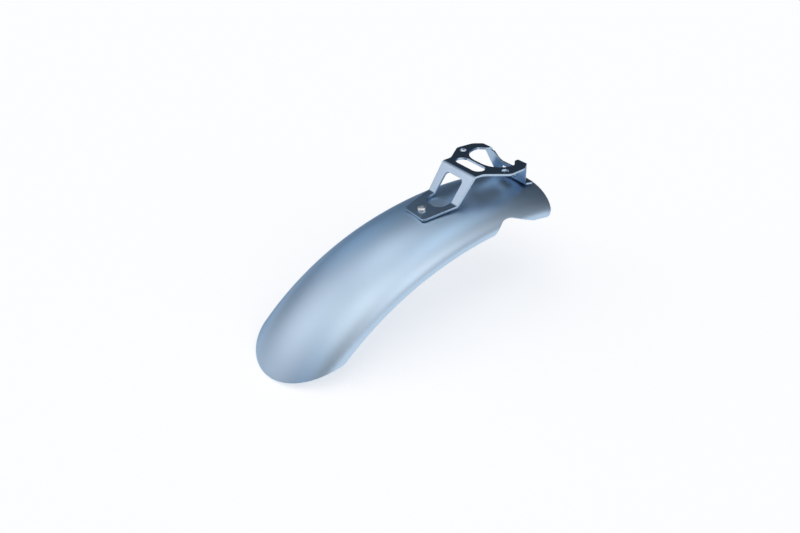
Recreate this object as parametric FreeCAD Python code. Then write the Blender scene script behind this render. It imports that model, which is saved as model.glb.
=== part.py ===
import FreeCAD, Part
import math
import os

# High front mudguard: a crowned blade hung below the lower fork yoke by a folded sheet bracket.
# Millimetres. X points forward, Y to the rider's left and Z up. The origin lies midway between the two
# yoke bolt holes, on the upper face of the bracket's top plate.

# Blade
blade_sheet = 2.0
crown_drop = 32.2            # plate's upper face down to the highest point of the crown
crown_top_x = 17.0           # where the crown is highest
rear_radius = 420.0          # crown line, from the tail to where it tightens
front_radius = 340.0         # crown line, from there to the nose
tail_reach = 92.0            # along the crown, from its highest point back to the tail
tighten_reach = 120.0        # along the crown, forward to where the radius changes
nose_reach = 326.4           # along the crown, forward to the nose
tail_width = 112.4
nose_width = 134.4
side_depth = 31.4            # crown down to the side edges
nose_setback = 64.8          # how far behind the nose the side edges end
nose_trim_radius = 330.0     # the trim from the nose to the side edges, seen from the side
tail_corner_radius = 8.0     # lower rear corner of each side
section_count = 9
loft_degree = 3
section_shoulder = 0.64      # poles of the line across the blade: sides upright, as a share of side_depth,
section_crown = 0.48         # and level over the crown, as a share of the half width

# Cut-out on each side for the fork leg, seen from the side
notch_depth = 12.0
notch_front_x = 14.0
notch_rear_x = 1.0
notch_front_slope = 39.0     # degrees from level
notch_rear_slope = 23.0
notch_front_radius = 12.0
notch_rear_radius = 25.0
notch_lip_radius = 12.0      # where the front slope runs out into the side edge
notch_lip_slope = 13.0

# Bracket's sheet and top plate
bracket_sheet = 2.5
bend_radius = 2.5            # inside every fold
yoke_hole_spacing = 72.0
yoke_hole_diameter = 8.4
ear_margin = 10.0            # hole centre to the outer edge
front_fold_x = 38.2          # sharp corner of the upper face
rear_fold_x = -35.7
neck_length = 12.0           # straight part behind the front fold
ear_front_x = 1.0
lobe_rear_x = -23.0          # where the sides start to close in to the rear foot
lobe_inset = 1.5             # how far the sides have closed in by there
neck_fillet = 14.0
ear_fillet = 8.0
lobe_fillet = 12.0
stem_front_x = 8.5           # rounded clearance for the steering stem
stem_width = 62.0
stem_front_radius = 25.0
stem_shoulder_x = -20.0      # where the clearance starts to narrow
stem_neck_x = -28.0          # where it has narrowed to the gap in the rear fold
stem_neck_width = 46.0
stem_corner_radius = 5.0
slot_length = 42.5
slot_width = 17.0
slot_setback = 17.7          # its centre line, behind the front fold

# Front flange and foot
front_slope = 35.2           # degrees from upright
front_fold_width = 55.6
front_foot_base_width = 51.2
front_foot_nose_width = 34.6
front_foot_overhang = 12.3   # screw to the foot's front edge
front_foot_corner = 5.0
front_window_top = 9.0       # down the flange from the fold
front_window_width = 29.6
front_window_corner = 5.0
front_window_end = 12.5      # behind the screw
front_window_end_corner = 11.8
front_screw_reach = 72.7     # along the crown, forward of its highest point

# Rear flange and foot
rear_slope = 22.8            # degrees from upright
rear_foot_width = 49.0
rear_foot_overhang = 8.0     # screw to the foot's rear edge
rear_foot_corner = 4.0
scoop_depth = 15.2
scoop_floor_width = 24.0
scoop_corner = 10.0
rear_window_top = 21.0       # below the plate's upper face
rear_window_sill = 3.5       # above the lower fold
rear_window_width = 23.0
rear_window_corner = 4.0
rear_screw_reach = 74.4      # along the crown, behind its highest point

# Fasteners
thread_diameter = 6.0
screw_length = 16.0
screw_end_chamfer = 0.8
head_diameter = 10.5
head_height = 3.3
head_rim = 0.6
head_flat_diameter = 5.6
socket_across_flats = 4.0
socket_depth = 2.0
washer_diameter = 12.0
washer_thickness = 1.6
nut_across_flats = 10.0
nut_hex_height = 4.6
nut_height = 7.0
nut_collar_diameter = 8.8

# Clearances
screw_hole_clearance = 0.6   # on the diameter, in both sheets
washer_hole_clearance = 0.4
thread_clearance = 0.1
seat_gap = 0.1               # foot to crown, where they come nearest
washer_gap = 0.10            # washer rim to the blade's underside

# Room that a cutting shape takes beyond the piece it cuts
reach_over = 40.0
nose_overrun = 8.0           # skin ahead of the nose, trimmed away


def vector(x, y, z):
    return FreeCAD.Vector(x, y, z)


def rounded_face(corners, origin, across, up):
    """Flat face bounded by straight lines whose corners (u, v, radius) are rounded by tangent arcs."""
    points = [origin + across * u + up * v for u, v, radius in corners]
    count = len(points)
    starts, arcs, ends = [], [], []
    for index, (u, v, radius) in enumerate(corners):
        here = points[index]
        back = (points[index - 1] - here).normalize()
        ahead = (points[(index + 1) % count] - here).normalize()
        half_angle = back.getAngle(ahead) / 2
        run = radius / math.tan(half_angle)
        starts.append(here + back * run)
        ends.append(here + ahead * run)
        bisector = (back + ahead).normalize()
        middle = here + bisector * (radius / math.sin(half_angle) - radius)
        arcs.append(Part.Arc(starts[-1], middle, ends[-1]).toShape() if radius else None)
    edges = []
    for index in range(count):
        if arcs[index]:
            edges.append(arcs[index])
        following = starts[(index + 1) % count]
        if (following - ends[index]).Length > 1e-6:
            edges.append(Part.LineSegment(ends[index], following).toShape())
    return Part.Face(Part.Wire(edges))


def mirrored(half):
    """Closed outline from its +Y half, listed front to rear as (x, y, radius)."""
    return half + [(x, -y, radius) for x, y, radius in reversed(half)]


def crown_frame(reach):
    """Point of the crown line, its forward direction and its outward normal, by distance along it."""
    first = min(reach, tighten_reach)
    turn = first / rear_radius
    x = crown_top_x + rear_radius * math.sin(turn)
    z = -crown_drop - rear_radius * (1 - math.cos(turn))
    if reach > tighten_reach:
        tight_turn = turn + (reach - tighten_reach) / front_radius
        x += front_radius * (math.sin(tight_turn) - math.sin(turn))
        z -= front_radius * (math.cos(turn) - math.cos(tight_turn))
        turn = tight_turn
    forward = vector(math.cos(turn), 0, -math.sin(turn))
    outward = vector(math.sin(turn), 0, math.cos(turn))
    return vector(x, 0, z), forward, outward


left = vector(0, 1, 0)
upward = vector(0, 0, 1)
ahead_x = vector(1, 0, 0)
origin = vector(0, 0, 0)
through_width = nose_width + reach_over
screw_hole_radius = (thread_diameter + screw_hole_clearance) / 2


def blade_section(reach):
    """Outer line across the blade: close to half an ellipse, square to the crown line."""
    crown, forward, outward = crown_frame(reach)
    share = (reach + tail_reach) / (nose_reach + tail_reach)
    half_width = (tail_width + (nose_width - tail_width) * share) / 2
    centre = crown - outward * side_depth
    top_pole = 1.6 - section_shoulder / 2  # brings the middle of the curve to the crown
    poles = [(1, 0), (1, section_shoulder), (section_crown, top_pole)]
    poles += [(-across, height) for across, height in reversed(poles)]
    curve = Part.BezierCurve()
    curve.setPoles([centre + left * (half_width * across) + outward * (side_depth * height)
                    for across, height in poles])
    return Part.Wire(curve.toShape())


def nose_trim():
    """Drum below the blade that trims its front, so the end is round seen from above."""
    tip, forward, outward = crown_frame(nose_reach)
    crown, forward, outward = crown_frame(nose_reach - nose_setback)
    side_end = crown - outward * side_depth
    chord = tip - side_end
    below = vector(chord.z, 0, -chord.x).normalize()
    depth = math.sqrt(nose_trim_radius ** 2 - (chord.Length / 2) ** 2)
    centre = (tip + side_end) / 2 + below * depth
    return Part.makeCylinder(nose_trim_radius, through_width, centre - left * (through_width / 2), left)


def tail_trim():
    """Piece that rounds the lower rear corner of both sides."""
    crown, forward, outward = crown_frame(-tail_reach)
    corner = crown - outward * side_depth
    radius = tail_corner_radius
    block = rounded_face([(-reach_over, -reach_over, 0), (radius, -reach_over, 0), (radius, radius, 0),
                          (-reach_over, radius, 0)], corner, forward, outward).extrude(left * through_width)
    disc = Part.makeCylinder(radius, through_width, corner + (forward + outward) * radius, left)
    cutter = block.cut(disc)
    cutter.translate(left * (-through_width / 2))
    return cutter


def notch_trim():
    """Fork-leg cut-outs, straight across both sides."""
    edge_z = -crown_drop - side_depth
    top_z = edge_z + notch_depth
    low_z = edge_z - reach_over
    lip_x = notch_front_x + notch_depth / math.tan(math.radians(notch_front_slope))
    lip_run = 2 * notch_lip_radius
    lip_end = (lip_x + lip_run, edge_z - lip_run * math.tan(math.radians(notch_lip_slope)), 0)
    rear_x = notch_rear_x - (top_z - low_z) / math.tan(math.radians(notch_rear_slope))
    outline = [(lip_end[0], low_z, 0), lip_end, (lip_x, edge_z, notch_lip_radius),
               (notch_front_x, top_z, notch_front_radius), (notch_rear_x, top_z, notch_rear_radius),
               (rear_x, low_z, 0)]
    return rounded_face(outline, left * (-through_width / 2), ahead_x, upward).extrude(left * through_width)


def make_blade():
    span = nose_reach + nose_overrun + tail_reach
    sections = [blade_section(-tail_reach + span * index / (section_count - 1)) for index in range(section_count)]
    skin = Part.makeLoft(sections, False, False, False, loft_degree)
    for trim in (nose_trim(), tail_trim(), notch_trim()):
        skin = skin.cut(trim)
    blade = skin.Faces[0].makeOffsetShape(-blade_sheet, 0.001, fill=True)
    for reach in (front_screw_reach, -rear_screw_reach):
        crown, forward, outward = crown_frame(reach)
        blade = blade.cut(Part.makeCylinder(screw_hole_radius, 2 * reach_over, crown - outward * reach_over, outward))
    return blade


def foot_frame(reach):
    """Upper face of a foot at its screw: the foot lies along the crown, one sheet above it."""
    crown, forward, outward = crown_frame(reach)
    return crown + outward * (seat_gap + bracket_sheet), forward, outward


def meeting_point(point_a, along_a, point_b, along_b):
    """Where two lines in the XZ plane cross."""
    gap = point_b - point_a
    cross = along_a.x * along_b.z - along_a.z * along_b.x
    return point_a + along_a * ((gap.x * along_b.z - gap.z * along_b.x) / cross)


def bracket_folds():
    """Corners of the upper face seen from the side, from the rear foot's end to the front foot's end."""
    front_screw, front_along, front_normal = foot_frame(front_screw_reach)
    rear_screw, rear_along, rear_normal = foot_frame(-rear_screw_reach)
    front_fold = vector(front_fold_x, 0, 0)
    rear_fold = vector(rear_fold_x, 0, 0)
    front_angle = math.radians(front_slope)
    rear_angle = math.radians(rear_slope)
    front_down = vector(math.sin(front_angle), 0, -math.cos(front_angle))
    rear_down = vector(-math.sin(rear_angle), 0, -math.cos(rear_angle))
    front_base = meeting_point(front_fold, front_down, front_screw, front_along)
    rear_base = meeting_point(rear_fold, rear_down, rear_screw, rear_along)
    front_end = front_screw + front_along * front_foot_overhang
    rear_end = rear_screw - rear_along * rear_foot_overhang
    return [rear_end, rear_base, rear_fold, front_fold, front_base, front_end]


def folded_strip(folds):
    """Sheet bent along the fold lines, wider than the finished bracket."""
    lower = []
    for index, point in enumerate(folds):
        sides = []
        for start, end in zip(folds[max(index - 1, 0):index + 1], folds[max(index - 1, 0) + 1:index + 2]):
            along = (end - start).normalize()
            below = vector(along.z, 0, -along.x) * bracket_sheet
            sides.append((start + below, along, end + below))
        if len(sides) == 2:
            lower.append(meeting_point(sides[0][0], sides[0][1], sides[1][0], sides[1][1]))
        else:
            lower.append(sides[0][0] if index == 0 else sides[0][2])
    outside = bend_radius + bracket_sheet
    upper_radii = [0, bend_radius, outside, outside, bend_radius, 0]
    lower_radii = [0, outside, bend_radius, bend_radius, outside, 0]
    corners = [(p.x, p.z, r) for p, r in zip(folds, upper_radii)]
    corners += [(p.x, p.z, r) for p, r in reversed(list(zip(lower, lower_radii)))]
    face = rounded_face(corners, left * (-through_width / 2), ahead_x, upward)
    return face.extrude(left * through_width)


def plan_outline(folds):
    """Outer edge of the whole bracket seen from above."""
    rear_end, rear_base, rear_fold, front_fold, front_base, front_end = folds
    ear_half = yoke_hole_spacing / 2 + ear_margin
    half = [(front_end.x, front_foot_nose_width / 2, front_foot_corner),
            (front_base.x, front_foot_base_width / 2, 0),
            (front_fold.x, front_fold_width / 2, 0),
            (front_fold.x - neck_length, front_fold_width / 2, neck_fillet),
            (ear_front_x, ear_half, ear_fillet),
            (lobe_rear_x, ear_half - lobe_inset, lobe_fillet),
            (rear_base.x, rear_foot_width / 2, lobe_fillet),
            (rear_end.x, rear_foot_width / 2, rear_foot_corner)]
    return mirrored(half)


def cut_through(shape, corners, centre, across, along, normal):
    """Take a rounded opening out of a sheet, square to its face."""
    face = rounded_face(corners, centre - normal * reach_over / 4, across, along)
    return shape.cut(face.extrude(normal * reach_over / 2))


def rectangle(low_u, high_u, half_v, radius):
    return [(low_u, -half_v, radius), (high_u, -half_v, radius), (high_u, half_v, radius), (low_u, half_v, radius)]


def make_bracket():
    folds = bracket_folds()
    rear_end, rear_base, rear_fold, front_fold, front_base, front_end = folds
    bracket = folded_strip(folds)
    tall = 2 * (crown_drop + side_depth + reach_over)
    outline = rounded_face(plan_outline(folds), upward * (-tall / 2), ahead_x, left)
    bracket = bracket.common(outline.extrude(upward * tall))

    # Top plate: yoke bolt holes, oval slot, and the stem clearance that runs out through the rear fold
    plate_floor = upward * -(bracket_sheet + bend_radius)
    plate_room = bracket_sheet + 2 * bend_radius
    for side in (-1, 1):
        hole_base = left * (side * yoke_hole_spacing / 2) + plate_floor
        bracket = bracket.cut(Part.makeCylinder(yoke_hole_diameter / 2, plate_room, hole_base))
    slot_x = front_fold_x - slot_setback
    bracket = cut_through(bracket, rectangle(slot_x - slot_width / 2, slot_x + slot_width / 2, slot_length / 2,
                                             slot_width / 2),
                          origin, ahead_x, left, upward)
    half_stem = stem_width / 2
    half_neck = stem_neck_width / 2
    stem = mirrored([(stem_front_x, half_stem, stem_front_radius), (stem_shoulder_x, half_stem, stem_corner_radius),
                     (stem_neck_x, half_neck, stem_corner_radius), (rear_fold_x - reach_over, half_neck, 0)])
    stem_face = rounded_face(stem, plate_floor, ahead_x, left)
    bracket = bracket.cut(stem_face.extrude(upward * plate_room))

    # Rear flange: scoop at the top, window below it
    flange_x = ahead_x * (rear_base.x + rear_fold.x) / 2
    scoop_rise = bend_radius + bracket_sheet
    scoop = [(-stem_neck_width / 2, scoop_rise, 0), (stem_neck_width / 2, scoop_rise, 0),
             (stem_neck_width / 2, 0, 0), (scoop_floor_width / 2, -scoop_depth, scoop_corner),
             (-scoop_floor_width / 2, -scoop_depth, scoop_corner), (-stem_neck_width / 2, 0, 0)]
    bracket = cut_through(bracket, scoop, flange_x, left, upward, ahead_x)
    bracket = cut_through(bracket, rectangle(rear_base.z + rear_window_sill, -rear_window_top, rear_window_width / 2,
                                             rear_window_corner), flange_x, upward, left, ahead_x)

    # Front flange and foot share one window, which bends with the sheet
    down = (front_base - front_fold).normalize()
    flange_normal = vector(-down.z, 0, down.x)
    flange_length = (front_base - front_fold).Length
    half_window = front_window_width / 2
    past_fold = bend_radius + bracket_sheet
    flange_end = flange_length + past_fold
    flange_part = [(front_window_top, -half_window, front_window_corner), (flange_end, -half_window, 0),
                   (flange_end, half_window, 0), (front_window_top, half_window, front_window_corner)]
    bracket = cut_through(bracket, flange_part, front_fold, down, left, flange_normal)
    front_screw, foot_along, foot_normal = foot_frame(front_screw_reach)
    base_run = (front_screw - front_base).Length + past_fold
    foot_part = [(-base_run, -half_window, 0), (-front_window_end, -half_window, front_window_end_corner),
                 (-front_window_end, half_window, front_window_end_corner), (-base_run, half_window, 0)]
    bracket = cut_through(bracket, foot_part, front_screw, foot_along, left, foot_normal)

    for reach in (front_screw_reach, -rear_screw_reach):
        seat, along, normal = foot_frame(reach)
        bracket = bracket.cut(Part.makeCylinder(screw_hole_radius, reach_over, seat - normal * reach_over / 2, normal))
    return bracket


def hexagon_prism(across_flats, base_z, height):
    corner = across_flats / math.sqrt(3)
    points = [vector(corner * math.cos(math.pi * k / 3), corner * math.sin(math.pi * k / 3), base_z)
              for k in range(7)]
    return Part.Face(Part.makePolygon(points)).extrude(upward * height)


def make_screw():
    """Button-head socket screw, head seated on Z = 0, shank pointing down."""
    head_radius = head_diameter / 2
    shank_radius = thread_diameter / 2
    flat_radius = head_flat_diameter / 2
    rim = vector(head_radius, 0, head_rim)
    crest = vector(flat_radius, 0, head_height)
    tip_radius = shank_radius - screw_end_chamfer
    top = vector(0, 0, head_height)
    profile = Part.makePolygon([top, crest, rim, vector(head_radius, 0, 0), vector(shank_radius, 0, 0),
                                vector(shank_radius, 0, -screw_length + screw_end_chamfer),
                                vector(tip_radius, 0, -screw_length), vector(0, 0, -screw_length), top])
    screw = Part.Face(profile).revolve(origin, upward, 360)
    return screw.cut(hexagon_prism(socket_across_flats, head_height - socket_depth, socket_depth + head_rim))


def make_washer():
    """Plain washer, upper face on Z = 0."""
    ring = Part.makeCylinder(washer_diameter / 2, washer_thickness, upward * -washer_thickness)
    bore = (thread_diameter + washer_hole_clearance) / 2
    return ring.cut(Part.makeCylinder(bore, washer_thickness, upward * -washer_thickness))


def make_nut():
    """Lock nut, upper face on Z = 0, its round collar pointing down."""
    body = hexagon_prism(nut_across_flats, -nut_hex_height, nut_hex_height)
    collar = Part.makeCylinder(nut_collar_diameter / 2, nut_height, upward * -nut_height)
    bore = Part.makeCylinder((thread_diameter + thread_clearance) / 2, nut_height, upward * -nut_height)
    return body.fuse(collar).removeSplitter().cut(bore)


def placed(shape, point, normal):
    copy = shape.copy()
    copy.Placement = FreeCAD.Placement(point, FreeCAD.Rotation(upward, normal))
    return copy


def fastener_set(name, reach):
    """One screw with its washer and nut, square to the crown."""
    crown, forward, outward = crown_frame(reach)
    head_seat = crown + outward * (seat_gap + bracket_sheet)
    underside_radius = (tail_width / 2) ** 2 / side_depth - blade_sheet
    rim_drop = (washer_diameter / 2) ** 2 / (2 * underside_radius)
    washer_seat = crown - outward * (blade_sheet + rim_drop + washer_gap)
    nut_seat = washer_seat - outward * washer_thickness
    return {name + "_screw": placed(make_screw(), head_seat, outward),
            name + "_washer": placed(make_washer(), washer_seat, outward),
            name + "_nut": placed(make_nut(), nut_seat, outward)}


nodes = {"mudguard_blade": make_blade(), "mounting_bracket": make_bracket()}
nodes.update(fastener_set("front", front_screw_reach))
nodes.update(fastener_set("rear", -rear_screw_reach))

os.makedirs("parts", exist_ok=True)
for node, shape in nodes.items():
    box = shape.BoundBox
    print(node, "solids", len(shape.Solids), "valid", shape.isValid(), "volume", round(shape.Volume, 1),
          "x", round(box.XMin, 1), round(box.XMax, 1), "y", round(box.YMin, 1), round(box.YMax, 1),
          "z", round(box.ZMin, 1), round(box.ZMax, 1))
    shape.exportStep("parts/" + node + ".step")
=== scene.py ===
import bpy
import math
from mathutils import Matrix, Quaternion, Vector


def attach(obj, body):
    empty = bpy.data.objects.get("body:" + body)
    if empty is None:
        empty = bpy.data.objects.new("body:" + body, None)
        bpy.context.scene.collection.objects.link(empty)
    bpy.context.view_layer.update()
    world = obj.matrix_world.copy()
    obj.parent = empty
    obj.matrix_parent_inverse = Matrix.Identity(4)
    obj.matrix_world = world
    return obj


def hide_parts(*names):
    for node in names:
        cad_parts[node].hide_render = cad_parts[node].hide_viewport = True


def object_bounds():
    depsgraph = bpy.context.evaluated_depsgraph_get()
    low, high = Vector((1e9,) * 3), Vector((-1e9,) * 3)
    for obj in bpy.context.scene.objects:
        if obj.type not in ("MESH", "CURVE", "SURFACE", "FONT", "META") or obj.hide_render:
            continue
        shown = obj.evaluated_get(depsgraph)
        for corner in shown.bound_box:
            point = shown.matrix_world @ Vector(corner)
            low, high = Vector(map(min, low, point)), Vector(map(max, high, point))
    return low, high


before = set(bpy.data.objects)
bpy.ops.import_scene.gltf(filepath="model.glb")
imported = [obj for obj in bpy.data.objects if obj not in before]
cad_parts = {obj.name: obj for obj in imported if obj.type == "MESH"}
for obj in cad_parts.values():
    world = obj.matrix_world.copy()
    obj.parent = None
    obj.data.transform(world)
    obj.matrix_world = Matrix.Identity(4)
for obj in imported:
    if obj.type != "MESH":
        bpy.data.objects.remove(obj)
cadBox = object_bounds()
print("frame loaded:", len(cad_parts), "nodes")


# small helpers, in metres and degrees

meshCare = {"merge": 0.000004, "degenerate": 0.0000001, "smoothAngle": 35, "flatWeight": 100}


def clearAll():
    if bpy.context.mode != "OBJECT":
        bpy.ops.object.mode_set(mode="OBJECT")
    bpy.ops.object.select_all(action="DESELECT")


def pickOnly(piece):
    clearAll()
    piece.select_set(True)
    bpy.context.view_layer.objects.active = piece


def nameIt(name):
    piece = bpy.context.active_object
    piece.name = name
    piece.data.name = name
    return piece


def applied(piece, kind, **settings):
    pickOnly(piece)
    modifier = piece.modifiers.new(kind.title(), kind)
    for key, value in settings.items():
        setattr(modifier, key, value)
    bpy.ops.object.modifier_apply(modifier=modifier.name)


def easeEdges(piece, width, steps, angle, **settings):  # rounds every edge that turns by more than the angle
    applied(piece, "BEVEL", width=width, segments=steps, limit_method="ANGLE", angle_limit=math.radians(angle),
            **settings)


def carve(piece, cutter, operation="DIFFERENCE"):
    applied(piece, "BOOLEAN", object=cutter, operation=operation, solver="EXACT")
    bpy.data.objects.remove(cutter, do_unlink=True)


def leaveEdit():
    bpy.ops.object.mode_set(mode="OBJECT")


def pickFaces(piece, test):  # leaves edit mode on, with only those faces selected
    pickOnly(piece)
    bpy.ops.object.mode_set(mode="EDIT")
    bpy.ops.mesh.select_mode(type="FACE")
    bpy.ops.mesh.select_all(action="DESELECT")
    leaveEdit()
    for face in piece.data.polygons:
        face.select = test(face.normal)
    bpy.ops.object.mode_set(mode="EDIT")


def editAll(piece):  # leaves edit mode on, with everything selected
    pickOnly(piece)
    bpy.ops.object.mode_set(mode="EDIT")
    bpy.ops.mesh.select_all(action="SELECT")


def cleanMesh(piece):  # slivers that cutting leaves
    editAll(piece)
    bpy.ops.mesh.remove_doubles(threshold=meshCare["merge"])
    bpy.ops.mesh.dissolve_degenerate(threshold=meshCare["degenerate"])
    leaveEdit()


def handOver(piece, node, material):
    cleanMesh(piece)
    bpy.ops.object.shade_smooth_by_angle(angle=math.radians(meshCare["smoothAngle"]))
    # flat faces stay flat beside a rounded edge
    applied(piece, "WEIGHTED_NORMAL", keep_sharp=True, weight=meshCare["flatWeight"])
    piece.data.materials.clear()
    piece.data.materials.append(material)
    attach(piece, "root")
    if node:
        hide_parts(node)


def direction(azimuth, elevation):  # round from +X and up from level
    around, up = math.radians(azimuth), math.radians(elevation)
    return Vector((math.cos(up) * math.cos(around), math.cos(up) * math.sin(around), math.sin(up)))


# materials

# the lighter edge colour in each finish is both rubbed wear and a painted edge highlight
bladeFinish = {
    "colour": (0.540, 0.70, 0.87), "deepColour": (0.520, 0.68, 0.85), "rubbedAndHighlight": (0.72, 0.80, 0.88),
    "grazing": (0.25, 0.32, 0.42), "edgeRadius": 0.0003, "metallic": 1.0, "roughness": (0.34, 0.42),
    "grainScale": 900.0, "cloudScale": 22.0, "grainBump": 0.05,
}
bracketFinish = {
    "colour": (0.44, 0.57, 0.72), "deepColour": (0.41, 0.54, 0.69), "rubbedAndHighlight": (0.74, 0.80, 0.86),
    "grazing": (0.40, 0.45, 0.52), "edgeRadius": 0.0005, "metallic": 1.0, "roughness": (0.16, 0.24),
    "grainScale": 1200.0, "cloudScale": 60.0, "grainBump": 0.025,
}
steelFinish = {
    "colour": (0.74, 0.76, 0.78), "deepColour": (0.62, 0.64, 0.67), "rubbedAndHighlight": (0.80, 0.81, 0.82),
    "grazing": (1.0, 1.0, 1.0), "edgeRadius": 0.0002, "metallic": 1.0, "roughness": (0.16, 0.30),
    "grainScale": 1600.0, "cloudScale": 160.0, "grainBump": 0.04,
}
nylonFinish = {
    "colour": (0.80, 0.82, 0.84), "deepColour": (0.70, 0.73, 0.76), "rubbedAndHighlight": (0.84, 0.85, 0.86),
    "grazing": (1.0, 1.0, 1.0), "edgeRadius": 0.0002, "metallic": 0.0, "roughness": (0.42, 0.55),
    "grainScale": 700.0, "cloudScale": 120.0, "grainBump": 0.06,
}
# the bands are the middle of the noise, which rarely reaches 0 or 1
grainLook = {"cloudDetail": 4.0, "grainDetail": 3.0, "toneBand": (0.35, 0.65), "roughBand": (0.3, 0.7),
             "bumpDepth": 0.0002}
edgeWearAndHighlight = {"samples": 8, "turn": (0.995, 0.85), "scale": 140.0, "detail": 2.0, "band": (0.35, 0.65),
        "share": (0.15, 0.95)}  # barer patches and a painted highlight along edges


def nodeAt(tree, kind, **settings):
    node = tree.nodes.new(kind)
    for key, value in settings.items():
        setattr(node, key, value)
    return node


def noiseAt(tree, place, scale, detail):
    noise = nodeAt(tree, "ShaderNodeTexNoise")
    noise.inputs["Scale"].default_value = scale
    noise.inputs["Detail"].default_value = detail
    tree.links.new(place.outputs["Object"], noise.inputs["Vector"])
    return noise.outputs["Fac"]


def spread(tree, source, fromBand, toBand=(0.0, 1.0)):  # one band of values laid over another
    mapped = nodeAt(tree, "ShaderNodeMapRange")
    mapped.inputs["From Min"].default_value, mapped.inputs["From Max"].default_value = fromBand
    mapped.inputs["To Min"].default_value, mapped.inputs["To Max"].default_value = toBand
    tree.links.new(source, mapped.inputs["Value"])
    return mapped.outputs["Result"]


def makeFinish(name, look):
    material = bpy.data.materials.new(name)
    material.use_nodes = True
    tree = material.node_tree
    link = tree.links.new
    shader = tree.nodes["Principled BSDF"]
    shader.inputs["Metallic"].default_value = look["metallic"]
    shader.inputs["Specular Tint"].default_value = (*look["grazing"], 1)  # duller at a shallow angle
    place = nodeAt(tree, "ShaderNodeTexCoord")
    cloud = noiseAt(tree, place, look["cloudScale"], grainLook["cloudDetail"])
    grain = noiseAt(tree, place, look["grainScale"], grainLook["grainDetail"])
    tone = nodeAt(tree, "ShaderNodeValToRGB")
    tones = (look["deepColour"], look["colour"])
    for stop, position, colour in zip(tone.color_ramp.elements, grainLook["toneBand"], tones):
        stop.position = position
        stop.color = (*colour, 1)
    link(cloud, tone.inputs["Fac"])
    link(spread(tree, grain, grainLook["roughBand"], look["roughness"]), shader.inputs["Roughness"])

    # edges are eased, and painted lighter in patches where the eased surface turns away: partly rubbed-bare
    # wear, partly a painted edge highlight
    eased = nodeAt(tree, "ShaderNodeBevel", samples=edgeWearAndHighlight["samples"])
    eased.inputs["Radius"].default_value = look["edgeRadius"]
    surface = nodeAt(tree, "ShaderNodeNewGeometry")
    turned = nodeAt(tree, "ShaderNodeVectorMath", operation="DOT_PRODUCT")
    link(eased.outputs["Normal"], turned.inputs[0])
    link(surface.outputs["Normal"], turned.inputs[1])
    patch = noiseAt(tree, place, edgeWearAndHighlight["scale"], edgeWearAndHighlight["detail"])
    wornAndHighlit = nodeAt(tree, "ShaderNodeMath", operation="MULTIPLY")
    link(spread(tree, turned.outputs["Value"], edgeWearAndHighlight["turn"]), wornAndHighlit.inputs[0])
    link(spread(tree, patch, edgeWearAndHighlight["band"], edgeWearAndHighlight["share"]), wornAndHighlit.inputs[1])
    # the paler edge colour is mixed in here: wear and a painted highlight on the edges
    bareAndHighlit = nodeAt(tree, "ShaderNodeMixRGB")
    bareAndHighlit.inputs["Color2"].default_value = (*look["rubbedAndHighlight"], 1)
    link(wornAndHighlit.outputs[0], bareAndHighlit.inputs["Fac"])
    link(tone.outputs["Color"], bareAndHighlit.inputs["Color1"])
    link(bareAndHighlit.outputs["Color"], shader.inputs["Base Color"])

    bump = nodeAt(tree, "ShaderNodeBump")
    bump.inputs["Strength"].default_value = look["grainBump"]
    bump.inputs["Distance"].default_value = grainLook["bumpDepth"]
    link(grain, bump.inputs["Height"])
    link(eased.outputs["Normal"], bump.inputs["Normal"])
    link(bump.outputs["Normal"], shader.inputs["Normal"])
    return material


satinBlade = makeFinish("satinBlade", bladeFinish)
smoothBracket = makeFinish("smoothBracket", bracketFinish)
brightSteel = makeFinish("brightSteel", steelFinish)
paleNylon = makeFinish("paleNylon", nylonFinish)
print("finishes made")


# the blade: a formed sheet that follows the crown line

blade = {
    "sheet": 0.002, "crownDrop": 0.0322, "crownTopX": 0.017, "rearRadius": 0.420, "frontRadius": 0.340,
    "tailReach": 0.092, "tightenReach": 0.120, "noseReach": 0.3264, "tailWidth": 0.1124, "noseWidth": 0.1344,
    "sideDepth": 0.0314, "noseSetback": 0.0648, "noseTrimRadius": 0.330, "noseSlack": (0.01, 0.008),
    "tailCorner": 0.008, "poles": ((1, 0), (1, 0.64), (0.48, 1.28), (-0.48, 1.28), (-1, 0.64), (-1, 0)),
    "rows": 150, "columns": 72, "edgeRound": 0.0005, "edgeSteps": 3, "edgeAngle": 50,
    "screwHole": 0.0033, "holeSides": 48, "holeDepth": 0.02,
}
forkNotch = {"depth": 0.012, "frontX": 0.014, "rearX": 0.001, "frontSlope": 39, "rearSlope": 23, "rearRun": 0.06,
             "frontRadius": 0.012, "rearRadius": 0.025, "lipRadius": 0.012, "lipSlope": 13}
screwReaches = {"front": 0.0727, "rear": -0.0744}
halvings = 40


def crownAt(reach):  # x, z and downward turn of the crown line
    turn = min(reach, blade["tightenReach"]) / blade["rearRadius"]
    x = blade["crownTopX"] + blade["rearRadius"] * math.sin(turn)
    z = -blade["crownDrop"] - blade["rearRadius"] * (1 - math.cos(turn))
    if reach > blade["tightenReach"]:
        tight = turn + (reach - blade["tightenReach"]) / blade["frontRadius"]
        x += blade["frontRadius"] * (math.sin(tight) - math.sin(turn))
        z -= blade["frontRadius"] * (math.cos(turn) - math.cos(tight))
        turn = tight
    return x, z, turn


def acrossAt(share):  # half-width share and height share of the section, 0 at the left edge and 1 at the right
    spans = (1, 5, 10, 10, 5, 1)  # a Bezier curve of degree 5 through the end poles
    weights = [c * share ** i * (1 - share) ** (5 - i) for i, c in enumerate(spans)]
    return (sum(w * p[0] for w, p in zip(weights, blade["poles"])),
            sum(w * p[1] for w, p in zip(weights, blade["poles"])))


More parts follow.
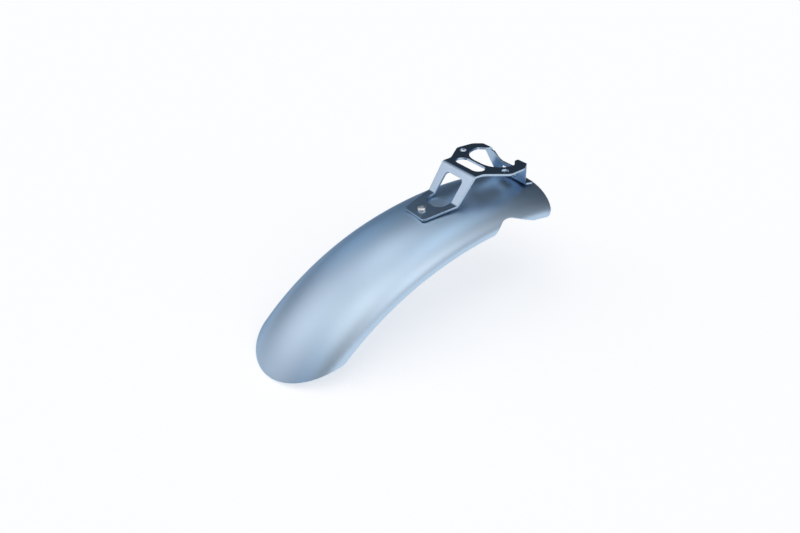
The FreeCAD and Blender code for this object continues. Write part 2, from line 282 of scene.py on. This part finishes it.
def bladePoint(reach, share):
    x, z, turn = crownAt(reach)
    grow = (reach + blade["tailReach"]) / (blade["noseReach"] + blade["tailReach"])
    halfWidth = (blade["tailWidth"] + (blade["noseWidth"] - blade["tailWidth"]) * grow) / 2
    wide, high = acrossAt(share)
    drop = blade["sideDepth"] * (1 - high)
    return Vector((x - drop * math.sin(turn), halfWidth * wide, z - drop * math.cos(turn)))


def halve(low, high, above):  # the value where above() turns true
    for step in range(halvings):
        middle = (low + high) / 2
        if above(middle):
            high = middle
        else:
            low = middle
    return high


def noseDrum():  # centre of the round trim below the nose, seen from the side
    tipX, tipZ, turn = crownAt(blade["noseReach"])
    x, z, turn = crownAt(blade["noseReach"] - blade["noseSetback"])
    sideX = x - blade["sideDepth"] * math.sin(turn)
    sideZ = z - blade["sideDepth"] * math.cos(turn)
    chord = Vector((tipX - sideX, tipZ - sideZ))
    below = Vector((chord.y, -chord.x)).normalized()
    depth = math.sqrt(blade["noseTrimRadius"] ** 2 - (chord.length / 2) ** 2)
    return Vector(((tipX + sideX) / 2, (tipZ + sideZ) / 2)) + below * depth


def roundedLine(corners, steps=10):  # (x, z, radius) corners joined by arcs, as plain points
    points = [Vector(corners[0][:2])]
    for before, here, after in zip(corners, corners[1:], corners[2:]):
        corner = Vector(here[:2])
        back = (Vector(before[:2]) - corner).normalized()
        ahead = (Vector(after[:2]) - corner).normalized()
        half = back.angle(ahead) / 2
        centre = corner + (back + ahead).normalized() * (here[2] / math.sin(half))
        first = corner + back * (here[2] / math.tan(half)) - centre
        last = corner + ahead * (here[2] / math.tan(half)) - centre
        sweep = first.angle(last)
        for k in range(steps + 1):
            a, b = math.sin(sweep * (1 - k / steps)), math.sin(sweep * k / steps)
            points.append(centre + (first * a + last * b) / math.sin(sweep))
    return points + [Vector(corners[-1][:2])]


def notchLine():  # the fork cut-out seen from the side, from front to rear
    edgeZ = -blade["crownDrop"] - blade["sideDepth"]
    topZ = edgeZ + forkNotch["depth"]
    lipX = forkNotch["frontX"] + forkNotch["depth"] / math.tan(math.radians(forkNotch["frontSlope"]))
    lipRun = 2 * forkNotch["lipRadius"]
    lipDrop = lipRun * math.tan(math.radians(forkNotch["lipSlope"]))
    rearDrop = forkNotch["rearRun"] * math.tan(math.radians(forkNotch["rearSlope"]))
    return roundedLine([
        (lipX + lipRun, edgeZ - lipDrop, 0),
        (lipX, edgeZ, forkNotch["lipRadius"]),
        (forkNotch["frontX"], topZ, forkNotch["frontRadius"]),
        (forkNotch["rearX"], topZ, forkNotch["rearRadius"]),
        (forkNotch["rearX"] - forkNotch["rearRun"], topZ - rearDrop, 0)])


notchPoints = notchLine()
drumCentre = noseDrum()


def aboveNotch(point):
    for a, b in zip(notchPoints, notchPoints[1:]):
        if b.x <= point.x <= a.x:
            level = a.y + (b.y - a.y) * (point.x - a.x) / (b.x - a.x)
            return point.z >= level
    return True


def sideShare(reach):  # where the side edge runs: the full depth, the fork cut-out or the tail corner
    share = 0.0
    if not aboveNotch(bladePoint(reach, 0.0)):
        share = halve(0.0, 0.5, lambda s: aboveNotch(bladePoint(reach, s)))
    fromTail = reach + blade["tailReach"]
    radius = blade["tailCorner"]
    if fromTail < radius:
        rise = radius - math.sqrt(max(radius ** 2 - (radius - fromTail) ** 2, 0))
        share = max(share, halve(0.0, 0.5, lambda s: acrossAt(s)[1] * blade["sideDepth"] >= rise))
    return share


def noseEnd(share):  # reach where the nose is trimmed
    def trimmed(reach):
        point = bladePoint(reach, share)
        return (Vector((point.x, point.z)) - drumCentre).length < blade["noseTrimRadius"]
    behind, ahead = blade["noseSlack"]
    return halve(blade["noseReach"] - blade["noseSetback"] - behind, blade["noseReach"] + ahead, trimmed)


def layOut(piece):  # bends the flat grid to the blade's outer face
    sideReach = blade["noseReach"] - blade["noseSetback"]
    edges, ends = {}, {}
    for vert in piece.data.vertices:
        along, across = (vert.co.x + 1) / 2, (1 - vert.co.y) / 2
        reach = -blade["tailReach"] + along * (sideReach + blade["tailReach"])
        rowKey, columnKey = round(along, 5), round(across, 5)
        if rowKey not in edges:
            edges[rowKey] = sideShare(reach) if along < 0.5 else 0.0  # only the rear half is cut out
        share = edges[rowKey] + (1 - 2 * edges[rowKey]) * across
        if columnKey not in ends:
            ends[columnKey] = noseEnd(across)
        pull = max(0.0, 2 * along - 1) ** 2  # the front rows bend into the rounded nose
        vert.co = bladePoint(reach + (ends[columnKey] - sideReach) * pull, share)


def makeBlade():
    clearAll()
    bpy.ops.mesh.primitive_grid_add(x_subdivisions=blade["rows"], y_subdivisions=blade["columns"], size=2)
    piece = nameIt("mudguardBlade")
    layOut(piece)
    editAll(piece)
    bpy.ops.mesh.normals_make_consistent(inside=False)
    leaveEdit()
    if piece.data.polygons[len(piece.data.polygons) // 2].normal.z < 0:  # the crown has to face up
        editAll(piece)
        bpy.ops.mesh.flip_normals()
        leaveEdit()
    applied(piece, "SOLIDIFY", thickness=blade["sheet"], offset=-1, use_even_offset=True)
    easeEdges(piece, blade["edgeRound"], blade["edgeSteps"], blade["edgeAngle"], use_clamp_overlap=False)
    for reach in screwReaches.values():
        x, z, turn = crownAt(reach)
        clearAll()
        bpy.ops.mesh.primitive_cylinder_add(vertices=blade["holeSides"], radius=blade["screwHole"],
                                            depth=blade["holeDepth"], location=(x, 0, z), rotation=(0, turn, 0))
        carve(piece, bpy.context.active_object)
    handOver(piece, "mudguard_blade", satinBlade)
    return piece


mudguardBlade = makeBlade()
print("blade made:", len(mudguardBlade.data.polygons), "faces")


# the bracket: folded sheet, its folds where the solids have them

bracket = {"merge": 0.000005, "flatAngle": 0.5}


def makeBracket():
    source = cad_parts["mounting_bracket"]
    piece = bpy.data.objects.new("mountingBracket", source.data.copy())
    bpy.context.scene.collection.objects.link(piece)
    editAll(piece)
    bpy.ops.mesh.remove_doubles(threshold=bracket["merge"])
    bpy.ops.mesh.dissolve_limited(angle_limit=math.radians(bracket["flatAngle"]))
    leaveEdit()
    handOver(piece, "mounting_bracket", smoothBracket)
    return piece


mountingBracket = makeBracket()
print("bracket made:", len(mountingBracket.data.polygons), "faces")


# fasteners: each modelled once on the Z axis, then copied to both feet

turning = {"sides": 64, "edgeAngle": 40, "capNormal": 0.9, "through": 0.01}  # shared by all the round work
screw = {"headRadius": 0.00525, "rim": 0.0006, "headHeight": 0.0033, "flatRadius": 0.0028, "domeSteps": 8,
         "socketFlats": 0.004, "socketDepth": 0.002, "socketRise": 0.001, "coreRadius": 0.0026, "length": 0.016,
         "chamfer": 0.0006, "tipRatio": 0.75, "edgeRound": 0.00015, "edgeSteps": 2,
         "spin": {"front": 12, "rear": 37}}
thread = {"pitch": 0.001, "crest": 0.0004, "lead": 0.0002, "runOut": 0.001, "steps": 32, "merge": 0.000001}
washer = {"radius": 0.006, "bore": 0.0032, "thickness": 0.0016, "edgeRound": 0.0002, "edgeSteps": 2}
nut = {"flats": 0.010, "hexHeight": 0.0046, "height": 0.007, "collarRadius": 0.0044, "bore": 0.00305,
       "barrelRatio": 1.01, "cornerCut": 0.0006, "collarRound": 0.0009, "collarSteps": 4,
       "ringRadius": 0.0038, "ringHeight": 0.0012, "spin": 20}
lockRing = {"recess": 0.0001, "sideRoom": 0.00004, "endRoom": 0.00015, "grip": 0.00003, "edgeRound": 0.0002,
            "edgeSteps": 3}
stack = {"screw": 0.0026, "washer": -0.0022826, "nut": -0.0038826}  # rise above the crown


def cylinder(sides, radius, low, high):
    clearAll()
    bpy.ops.mesh.primitive_cylinder_add(vertices=sides, radius=radius, depth=high - low,
                                        location=(0, 0, (low + high) / 2))
    bpy.ops.object.transform_apply(location=True, rotation=True, scale=True)
    return bpy.context.active_object


def rod(radius, low, high):
    return cylinder(turning["sides"], radius, low, high)


def hexagon(flats, low, high):
    return cylinder(6, flats / math.sqrt(3), low, high)


def bore(piece, radius):
    carve(piece, rod(radius, -turning["through"], turning["through"]))


def facesUp(normal):
    return normal.z > turning["capNormal"]


def facesDown(normal):
    return normal.z < -turning["capNormal"]


def bevelCaps(piece, size, steps, test):
    pickFaces(piece, test)
    bpy.ops.mesh.bevel(offset=size, segments=steps, affect="EDGES")
    leaveEdit()


def drawOut(rise, ratio, height):  # extrude the picked cap, then scale it about the axis
    bpy.ops.mesh.extrude_region_move(TRANSFORM_OT_translate={"value": (0, 0, rise)})
    bpy.ops.transform.resize(value=(ratio, ratio, 1), center_override=(0, 0, height))


def makeThread(low):  # a small diamond run up the core by the screw modifier
    clearAll()
    bpy.ops.mesh.primitive_circle_add(vertices=4, radius=thread["crest"], rotation=(math.pi / 2, 0, 0),
                                      location=(screw["coreRadius"], 0, low + thread["lead"]))
    bpy.ops.object.transform_apply(location=True, rotation=True, scale=True)
    piece = nameIt("thread")
    turns = int((-low - thread["runOut"]) / thread["pitch"])
    applied(piece, "SCREW", axis="Z", screw_offset=thread["pitch"], iterations=turns, steps=thread["steps"],
            render_steps=thread["steps"], use_merge_vertices=True)
    editAll(piece)
    bpy.ops.mesh.remove_doubles(threshold=thread["merge"])
    bpy.ops.mesh.fill_holes(sides=4)
    bpy.ops.mesh.select_all(action="SELECT")
    bpy.ops.mesh.normals_make_consistent(inside=False)
    leaveEdit()
    return piece


def makeScrew():
    piece = rod(screw["headRadius"], 0, screw["rim"])
    pickFaces(piece, facesUp)
    radius, height = screw["headRadius"], screw["rim"]
    for step in range(1, screw["domeSteps"] + 1):
        lift = math.radians(90 * step / screw["domeSteps"])
        nextRadius = screw["flatRadius"] + (screw["headRadius"] - screw["flatRadius"]) * math.cos(lift)
        nextHeight = screw["rim"] + (screw["headHeight"] - screw["rim"]) * math.sin(lift)
        drawOut(nextHeight - height, nextRadius / radius, nextHeight)
        radius, height = nextRadius, nextHeight
    pickFaces(piece, facesDown)
    bpy.ops.mesh.inset(thickness=screw["headRadius"] - screw["coreRadius"])
    end = screw["chamfer"] - screw["length"]
    drawOut(end, 1, end)
    drawOut(-screw["chamfer"], screw["tipRatio"], -screw["length"])
    leaveEdit()
    top = screw["headHeight"]
    carve(piece, hexagon(screw["socketFlats"], top - screw["socketDepth"], top + screw["socketRise"]))
    easeEdges(piece, screw["edgeRound"], screw["edgeSteps"], turning["edgeAngle"])
    threadPiece = makeThread(end)
    pickOnly(piece)
    threadPiece.select_set(True)
    bpy.ops.object.join()
    return piece


def makeWasher():
    piece = rod(washer["radius"], -washer["thickness"], 0)
    bore(piece, washer["bore"])
    easeEdges(piece, washer["edgeRound"], washer["edgeSteps"], turning["edgeAngle"])
    return piece


def makeNut():
    piece = hexagon(nut["flats"], -nut["hexHeight"], 0)
    barrel = rod(nut["flats"] / math.sqrt(3) * nut["barrelRatio"], -nut["hexHeight"], 0)
    bevelCaps(barrel, nut["cornerCut"], 1, lambda normal: facesUp(normal) or facesDown(normal))
    carve(piece, barrel, "INTERSECT")
    collar = rod(nut["collarRadius"], -nut["height"], -nut["hexHeight"] / 2)
    bevelCaps(collar, nut["collarRound"], nut["collarSteps"], facesDown)
    carve(piece, collar, "UNION")
    bore(piece, nut["bore"])
    carve(piece, rod(nut["ringRadius"], -turning["through"], nut["ringHeight"] - nut["height"]))
    return piece


def makeLockRing():
    low = lockRing["recess"] - nut["height"]
    piece = rod(nut["ringRadius"] - lockRing["sideRoom"], low, low + nut["ringHeight"] - lockRing["endRoom"])
    bore(piece, nut["bore"] - lockRing["grip"])
    easeEdges(piece, lockRing["edgeRound"], lockRing["edgeSteps"], turning["edgeAngle"])
    return piece


def placeCopy(model, name, reach, rise, spin=0):
    x, z, turn = crownAt(reach)
    pickOnly(model)
    bpy.ops.object.duplicate(linked=False)
    piece = nameIt(name)
    piece.rotation_mode = "ZYX"
    piece.location = (x + rise * math.sin(turn), 0, z + rise * math.cos(turn))
    piece.rotation_euler = (0, turn, math.radians(spin))
    bpy.ops.object.transform_apply(location=True, rotation=True, scale=True)
    return piece


def makeFasteners():
    models = {"Screw": makeScrew(), "Washer": makeWasher(), "Nut": makeNut(), "LockRing": makeLockRing()}
    for foot, reach in screwReaches.items():
        piece = placeCopy(models["Screw"], foot + "Screw", reach, stack["screw"], screw["spin"][foot])
        handOver(piece, foot + "_screw", brightSteel)
        piece = placeCopy(models["Washer"], foot + "Washer", reach, stack["washer"])
        handOver(piece, foot + "_washer", brightSteel)
        piece = placeCopy(models["Nut"], foot + "Nut", reach, stack["nut"], nut["spin"])
        handOver(piece, foot + "_nut", brightSteel)
        piece = placeCopy(models["LockRing"], foot + "LockRing", reach, stack["nut"])
        handOver(piece, None, paleNylon)
    for model in models.values():
        bpy.data.objects.remove(model, do_unlink=True)


makeFasteners()
print("fasteners made")


# camera and stage

shot = {"azimuth": 54.067, "elevation": 34.764, "roll": -0.2, "distance": 0.67708,
        "target": (0.12078, 0.0, -0.10184), "lens": 26.1, "sensor": 36.0, "clipStart": 0.01}


def makeCamera():
    toward = direction(shot["azimuth"], shot["elevation"])
    clearAll()
    bpy.ops.object.camera_add(location=Vector(shot["target"]) + toward * shot["distance"])
    camera = bpy.context.active_object
    camera.rotation_mode = "QUATERNION"
    roll = Quaternion((0, 0, 1), math.radians(shot["roll"]))
    camera.rotation_quaternion = toward.to_track_quat("Z", "Y") @ roll
    camera.data.sensor_width = shot["sensor"]
    camera.data.lens = shot["lens"]
    camera.data.clip_start = shot["clipStart"]
    bpy.context.scene.camera = camera


floorLook = {"size": 60.0, "centre": (0.1, 0), "colour": (0.60, 0.62, 0.64), "roughness": 0.9, "specular": 0.0,
             "glow": 0.555}


def makeFloor():
    clearAll()
    bpy.ops.mesh.primitive_plane_add(size=floorLook["size"], location=(*floorLook["centre"], cadBox[0][2]))
    floor = nameIt("floor")
    material = bpy.data.materials.new("paleFloor")
    material.use_nodes = True
    tree = material.node_tree
    link = tree.links.new
    shader = tree.nodes["Principled BSDF"]
    shader.inputs["Base Color"].default_value = (*floorLook["colour"], 1)
    shader.inputs["Roughness"].default_value = floorLook["roughness"]
    shader.inputs["Specular IOR Level"].default_value = floorLook["specular"]
    # the glow whitens the floor where it is seen or mirrored, and adds no other light
    path = nodeAt(tree, "ShaderNodeLightPath")
    seen = nodeAt(tree, "ShaderNodeMath", operation="MAXIMUM")
    link(path.outputs["Is Camera Ray"], seen.inputs[0])
    link(path.outputs["Is Glossy Ray"], seen.inputs[1])
    seenToo = nodeAt(tree, "ShaderNodeMath", operation="MAXIMUM")
    link(seen.outputs[0], seenToo.inputs[0])
    link(path.outputs["Is Transmission Ray"], seenToo.inputs[1])
    strength = nodeAt(tree, "ShaderNodeMath", operation="MULTIPLY")
    strength.inputs[1].default_value = floorLook["glow"]
    link(seenToo.outputs[0], strength.inputs[0])
    glow = nodeAt(tree, "ShaderNodeEmission")
    link(strength.outputs[0], glow.inputs["Strength"])
    both = nodeAt(tree, "ShaderNodeAddShader")
    link(shader.outputs[0], both.inputs[0])
    link(glow.outputs[0], both.inputs[1])
    link(both.outputs[0], tree.nodes["Material Output"].inputs["Surface"])
    floor.data.materials.append(material)


# studio of large soft boxes in a dim room; colour says how pale a box is, focus how small
room = (0.045, 0.056, 0.070)
softBoxes = {
    "keyFront": {"azimuth": 32, "elevation": 59, "focus": 8.8, "colour": (1.48, 1.37, 1.25)},
    "nearSide": {"azimuth": 101, "elevation": 31, "focus": 9, "colour": (1.62, 1.50, 1.43)},
    "farFront": {"azimuth": -40, "elevation": 32, "focus": 10, "colour": (1.26, 1.17, 1.15)},
    "farHigh": {"azimuth": -86, "elevation": 66, "focus": 26, "colour": (1.13, 1.13, 1.14)},
    "farLow": {"azimuth": -94, "elevation": 25, "focus": 26, "colour": (0.34, 0.51, 0.67)},
    "frontLow": {"azimuth": 15, "elevation": 27, "focus": 22, "colour": (0.01, 0.15, 0.30)},
    "backTop": {"azimuth": 155, "elevation": 71, "focus": 25, "colour": (0.98, 1.11, 1.22)},
}


def makeLights():
    world = bpy.data.worlds.new("studio")
    bpy.context.scene.world = world
    world.use_nodes = True
    tree = world.node_tree
    link = tree.links.new
    place = nodeAt(tree, "ShaderNodeTexCoord")
    total = None
    for box in softBoxes.values():
        facing = nodeAt(tree, "ShaderNodeVectorMath", operation="DOT_PRODUCT")
        facing.inputs[1].default_value = direction(box["azimuth"], box["elevation"])
        front = nodeAt(tree, "ShaderNodeMath", operation="MAXIMUM")
        front.inputs[1].default_value = 0.0
        patch = nodeAt(tree, "ShaderNodeMath", operation="POWER")
        patch.inputs[1].default_value = box["focus"]
        adding = nodeAt(tree, "ShaderNodeVectorMath", operation="MULTIPLY_ADD")
        adding.inputs[1].default_value = box["colour"]
        adding.inputs[2].default_value = room
        link(place.outputs["Generated"], facing.inputs[0])
        link(facing.outputs["Value"], front.inputs[0])
        link(front.outputs[0], patch.inputs[0])
        link(patch.outputs[0], adding.inputs[0])
        if total:  # each box is added to the ones before it, and the first to the room
            link(total, adding.inputs[2])
        total = adding.outputs["Vector"]
    link(total, tree.nodes["Background"].inputs["Color"])


makeCamera()
makeFloor()
makeLights()
bpy.context.scene.view_settings.view_transform = "Standard"
print("stage set")
